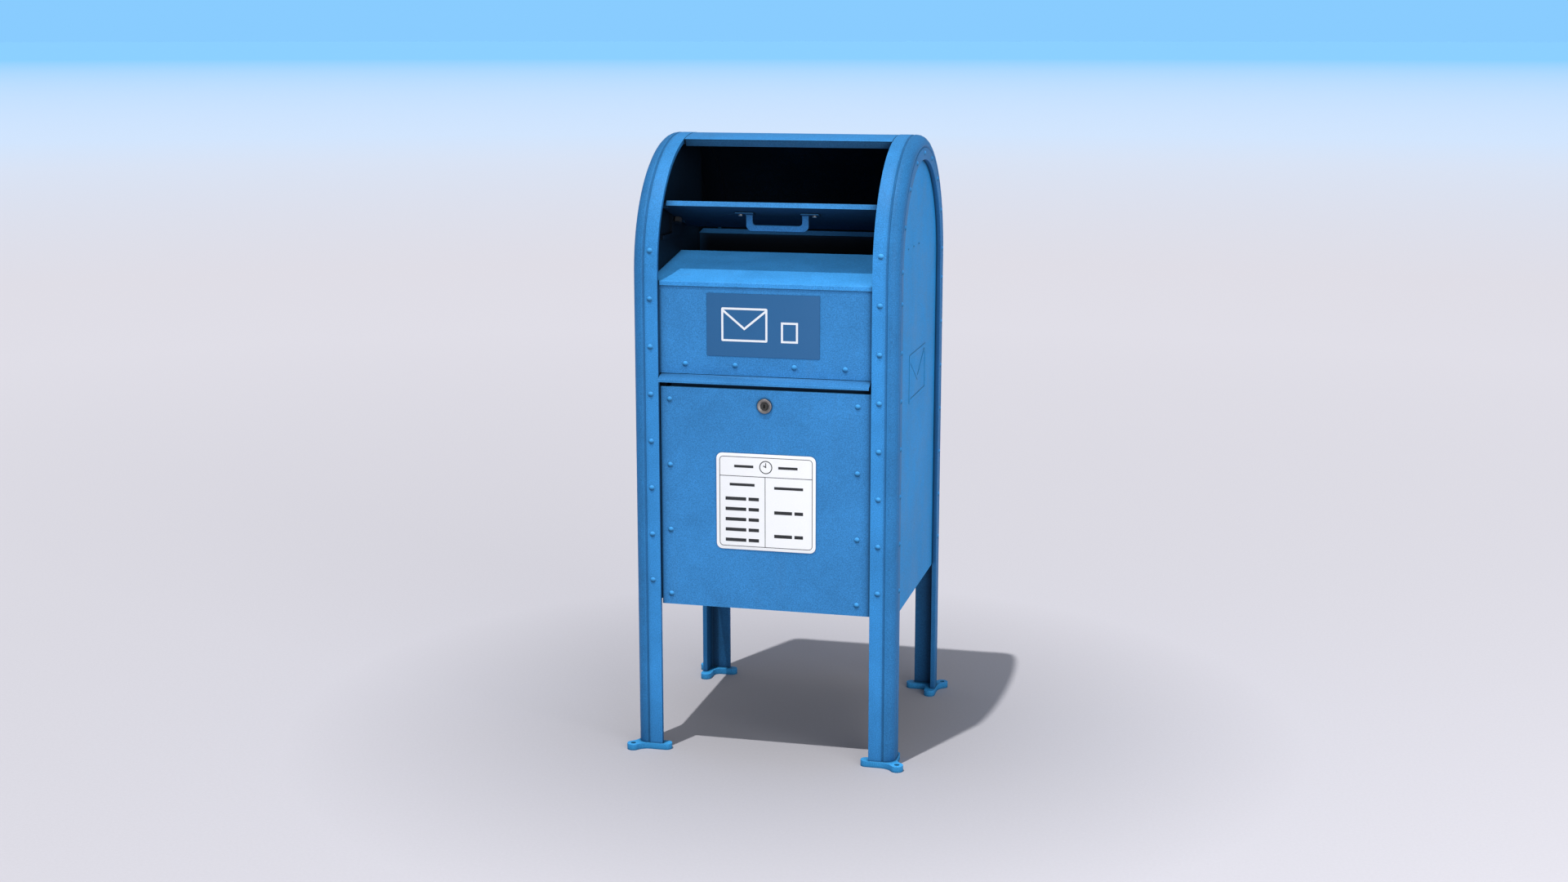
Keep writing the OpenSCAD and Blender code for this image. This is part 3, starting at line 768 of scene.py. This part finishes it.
def table_rows(x0, middle, x1, header):
    """A heading and five times in the left column, a heading and two times in the right one."""
    left_rows = [header - 0.017 - 0.0215 * k - (0.008 if k else 0) for k in range(6)]
    right_rows = (left_rows[0] - 0.004, left_rows[2] - 0.004, left_rows[4] - 0.010)
    bars = []
    for k, z in enumerate(left_rows):
        bars += row_of_bars((x0 + middle) / 2, z, 0.070 if k else 0.052, heading=k == 0)
    for k, z in enumerate(right_rows):
        bars += row_of_bars((middle + x1) / 2, z, 0.060, heading=k == 0)
    return bars


def make_schedule_plate(enamel, ink):
    """White plate with a ruled table: a clock in the header and bars where times stand."""
    low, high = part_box("schedule_plate")
    base = flat_piece("schedule_panel", [box_outline(low.x, low.z, high.x, high.z, 0.012)],
                      high.y - low.y, enamel, edge=0.0003)
    hand_over(on_front(base, high.y), "collection_door", "white_enamel", "schedule_plate")
    x0, z0 = low.x + TABLE_INSET, low.z + TABLE_INSET
    x1, z1 = high.x - TABLE_INSET, high.z - TABLE_INSET
    half = TABLE_LINE / 2
    header = z1 - 0.041
    middle = (x0 + x1) / 2 - 0.002
    clock_x, clock_z = (x0 + x1) / 2, (header + z1) / 2 + 0.0005
    rule = box_outline(x0 + half, header, x1 - half, header + TABLE_LINE)
    divider = box_outline(middle, z0 + half, middle + TABLE_LINE, header + half)
    marks = [("schedule_border", frame_outlines(x0, z0, x1, z1, TABLE_LINE, 0.008)),
             ("schedule_header_rule", [rule]),
             ("schedule_divider", [divider])]
    marks += clock_marks(clock_x, clock_z)
    rows = header_bars(clock_x, clock_z) + table_rows(x0, middle, x1, header)
    marks.append(("schedule_rows", rows))
    print_marks(marks, 0.1, low.y, ink, "collection_door", "white_enamel")


# ---------- CAD parts that keep their shape ----------

def long_edge_weights():
    """Node group that marks sharp edges for the bevel and leaves out the short ones round holes."""
    group = bpy.data.node_groups.new("mark_long_edges", "GeometryNodeTree")
    for in_out in ("INPUT", "OUTPUT"):
        group.interface.new_socket("Geometry", in_out=in_out, socket_type="NodeSocketGeometry")
    link = group.links.new

    def maths(kind, operation, a, b):
        made = group.nodes.new(kind)
        made.operation = operation
        link(a, made.inputs[0])
        if isinstance(b, float):
            made.inputs[1].default_value = b
        else:
            link(b, made.inputs[1])
        return made.outputs["Value"]

    start = group.nodes.new("NodeGroupInput")
    end = group.nodes.new("NodeGroupOutput")
    angle = group.nodes.new("GeometryNodeInputMeshEdgeAngle").outputs["Unsigned Angle"]
    ends = group.nodes.new("GeometryNodeInputMeshEdgeVertices").outputs
    length = maths("ShaderNodeVectorMath", "DISTANCE", ends["Position 1"], ends["Position 2"])
    sharp = maths("ShaderNodeMath", "GREATER_THAN", angle, math.radians(40))
    long = maths("ShaderNodeMath", "GREATER_THAN", length, SHORT_EDGE)
    store = group.nodes.new("GeometryNodeStoreNamedAttribute")
    store.data_type = "FLOAT"
    store.domain = "EDGE"
    store.inputs["Name"].default_value = "bevel_weight_edge"
    link(maths("ShaderNodeMath", "MULTIPLY", sharp, long), store.inputs["Value"])
    link(start.outputs[0], store.inputs["Geometry"])
    link(store.outputs["Geometry"], end.inputs[0])
    return group


def soften(node, width, marks, segments):
    """Welds a CAD part's faces together and rounds its longer sharp edges."""
    piece = frame["nodes"][node]
    weld = piece.modifiers.new("weld", "WELD")
    weld.merge_threshold = 1e-6
    marked = piece.modifiers.new("mark_long_edges", "NODES")
    marked.node_group = marks
    bevel = piece.modifiers.new("round_edges", "BEVEL")
    bevel.width = width
    bevel.segments = segments
    bevel.limit_method = "WEIGHT"
    bevel.use_clamp_overlap = True


def refinish(material, *nodes):
    """Gives CAD nodes a material."""
    for node in nodes:
        mesh = frame["nodes"][node].data
        mesh.materials.clear()
        mesh.materials.append(material)


def finish_cad_parts(finishes):
    """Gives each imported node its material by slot, and rounds the edges that show."""
    for part in frame["record"]["subparts"]:
        refinish(finishes[part["material_slot"]], part["node"])
    marks = long_edge_weights()
    for node in SHEETS:
        soften(node, SHEET_EDGE_R, marks, 2)
    for foot in FEET:
        soften(foot, CAST_EDGE_R, marks, 3)
    soften("hopper_handle", HANDLE_EDGE_R, marks, 3)


# ---------- stage ----------

def make_camera():
    """A camera at the photograph's viewing angle."""
    azimuth, elevation = math.radians(CAMERA_AZIMUTH), math.radians(CAMERA_ELEVATION)
    back = Vector((math.sin(azimuth) * math.cos(elevation),
                   -math.cos(azimuth) * math.cos(elevation), math.sin(elevation)))
    camera = bpy.data.objects.new("camera", bpy.data.cameras.new("camera"))
    bpy.context.scene.collection.objects.link(camera)
    camera.data.sensor_width = 36
    camera.data.lens = CAMERA_LENS
    camera.data.clip_end = 600
    camera.location = Vector(CAMERA_AIM) + back * CAMERA_DISTANCE
    camera.rotation_mode = "QUATERNION"
    camera.rotation_quaternion = (-back).to_track_quat("-Z", "Y")
    bpy.context.scene.camera = camera


def make_floor():
    """A flat disc 600 m across, in rings that widen outwards."""
    radii = (0.8, 3, 12, 50, 300)
    segments = 96
    bm = bmesh.new()
    centre = bm.verts.new((0, 0, 0))
    rows = [[bm.verts.new((*p, 0)) for p in circle(0, 0, r, segments)] for r in radii]
    for i in range(segments):
        j = (i + 1) % segments
        bm.faces.new((centre, rows[0][i], rows[0][j]))
        for a, b in zip(rows, rows[1:]):
            bm.faces.new((a[i], b[i], b[j], a[j]))
    floor = add_object("floor", finish_mesh(bm, "floor"), floor_material())


def add_light(name, kind, energy, location, target, **settings):
    data = bpy.data.lights.new(name, kind)
    data.energy = energy
    for key, value in settings.items():
        setattr(data, key, value)
    light = bpy.data.objects.new(name, data)
    bpy.context.scene.collection.objects.link(light)
    light.location = location
    light.rotation_mode = "QUATERNION"
    light.rotation_quaternion = (Vector(target) - Vector(location)).to_track_quat("-Z", "Y")
    return light


def make_lamps():
    """A high key light from the front left and a wide soft fill from the right."""
    add_light("key", "SUN", SUN_ENERGY, SUN_FROM, (0, 0, 0), angle=math.radians(SUN_WIDTH),
              color=(1.0, 0.985, 0.97))
    add_light("fill", "AREA", FILL_ENERGY, FILL_FROM, BOX_MIDDLE, shape="RECTANGLE", size=3.6,
              size_y=2.6)


def light_sill():
    """Lifts the sill, which lies under the open hopper door, with a shadowless sun of its own.

    The drip ledge throws no shadow on the collection door below it.
    """
    reach = bpy.data.collections.new("sill_only")
    reach.objects.link(frame["nodes"]["sill_plate"])
    lift = add_light("sill_lift", "SUN", SILL_LIFT_ENERGY, SUN_FROM, (0, 0, 0), use_shadow=False)
    lift.light_linking.receiver_collection = reach
    frame["nodes"]["drip_ledge"].visible_shadow = False


def make_sky():
    """World light that goes from blue at the horizon to pale grey above it."""
    world = bpy.data.worlds.new("sky")
    bpy.context.scene.world = world
    world.use_nodes = True
    tree = world.node_tree
    direction = tree.nodes.new("ShaderNodeTexCoord")
    split = tree.nodes.new("ShaderNodeSeparateXYZ")
    height = tree.nodes.new("ShaderNodeMapRange")
    height.inputs["From Min"].default_value = 0.03
    height.inputs["From Max"].default_value = 0.12
    blend = tree.nodes.new("ShaderNodeMix")
    blend.data_type = "RGBA"
    blend.inputs[6].default_value = (*SKY_BLUE, 1)
    blend.inputs[7].default_value = (*SKY_PALE, 1)
    tree.links.new(direction.outputs["Generated"], split.inputs[0])
    tree.links.new(split.outputs["Z"], height.inputs["Value"])
    tree.links.new(height.outputs["Result"], blend.inputs["Factor"])
    tree.links.new(blend.outputs[2], tree.nodes["Background"].inputs["Color"])


# ---------- assembly ----------

make_camera()
make_floor()
make_lamps()
light_sill()
make_sky()

blue_paint = paint("blue_paint", BLUE, edge_wear_and_highlight=0.55, shade=0.10, inside=1.0)
panel_paint = paint("panel_paint", BLUE_PANEL, edge_wear_and_highlight=0.60, shade=0.15, inside=0.70)
side_paint = paint("side_paint", BLUE_SIDE, edge_wear_and_highlight=0.50, shade=0.10, inside=1.0)
arch_paint = paint("arch_paint", BLUE, edge_wear_and_highlight=0.75, shade=0.50, inside=0.45, painted_light=bead_painted_shade)
sill_paint = paint("sill_paint", BLUE, edge_wear_and_highlight=0.60, shade=0.80)
rivet_paint = paint("rivet_paint", BLUE_RIVET, edge_wear_and_highlight=0.40, shade=0.50, contrast=0.06, painted_light=dome_painted_light)
# lighter blue that paints light onto the feet
foot_lit_paint = paint("foot_lit_paint", BLUE_FOOT_LIT, edge_wear_and_highlight=0.70, shade=0.80)
# darker blue that paints shade onto the crown hem
hem_shade_paint = paint("hem_shade_paint", BLUE_HEM_SHADE, edge_wear_and_highlight=0.15, shade=0.30)
baffle_paint = paint("baffle_paint", BLUE_PANEL, edge_wear_and_highlight=0.10, shade=0.55, painted_light=shade_below_top_bar)
# dark blue that paints shade onto the parts inside the box
inner_paint = paint("inner_paint", BLUE_INNER_SHADE, edge_wear_and_highlight=0.10, shade=0.04, inside=0.70)
label_blue = printed("label_blue", LABEL_BLUE, 0.10)
print_white = printed("print_white", PRINT_WHITE, 0.10)
white_enamel = printed("white_enamel", PLATE_WHITE, 0.05)
print_black = printed("print_black", PRINT_BLACK, 0.20)
lock_metal = metal("lock_metal", LOCK_STEEL, 0.36, 0.35)

finish_cad_parts({
    "blue_paint": blue_paint,
    "inner_paint": inner_paint,
    "label_blue": label_blue,
    "white_enamel": white_enamel,
    "zinc_steel": metal("zinc_steel", ZINC, 0.34, 0.25),
    "lock_metal": lock_metal,
    "lock_plug": metal("lock_plug", LOCK_DARK, 0.40, 0.20),
    "rubber": rubber("rubber_pad"),
})
refinish(sill_paint, "sill_plate")
refinish(hem_shade_paint, "crown_hem")
refinish(baffle_paint, "rear_baffle")
refinish(side_paint, "side_panel_left", "side_panel_right")
refinish(panel_paint, "upper_front_panel", "collection_door", "drip_ledge", "hopper_handle",
         "hopper_door_pan")
refinish(foot_lit_paint, *FEET)
make_arch("left", -1, arch_paint)
make_arch("right", 1, arch_paint)
make_rivets("face_rivets", "body", outward_on_face, rivet_paint)
make_rivets("side_rivets", "body", outward_on_side, rivet_paint)
make_rivets("ledge_rivets", "body", outward_to_front, rivet_paint)
make_rivets("door_rivets", "collection_door", outward_to_front, rivet_paint)
make_lock_face(lock_metal)
make_label(label_blue, print_white)
make_schedule_plate(white_enamel, print_black)

bpy.context.scene.view_settings.view_transform = "Standard"
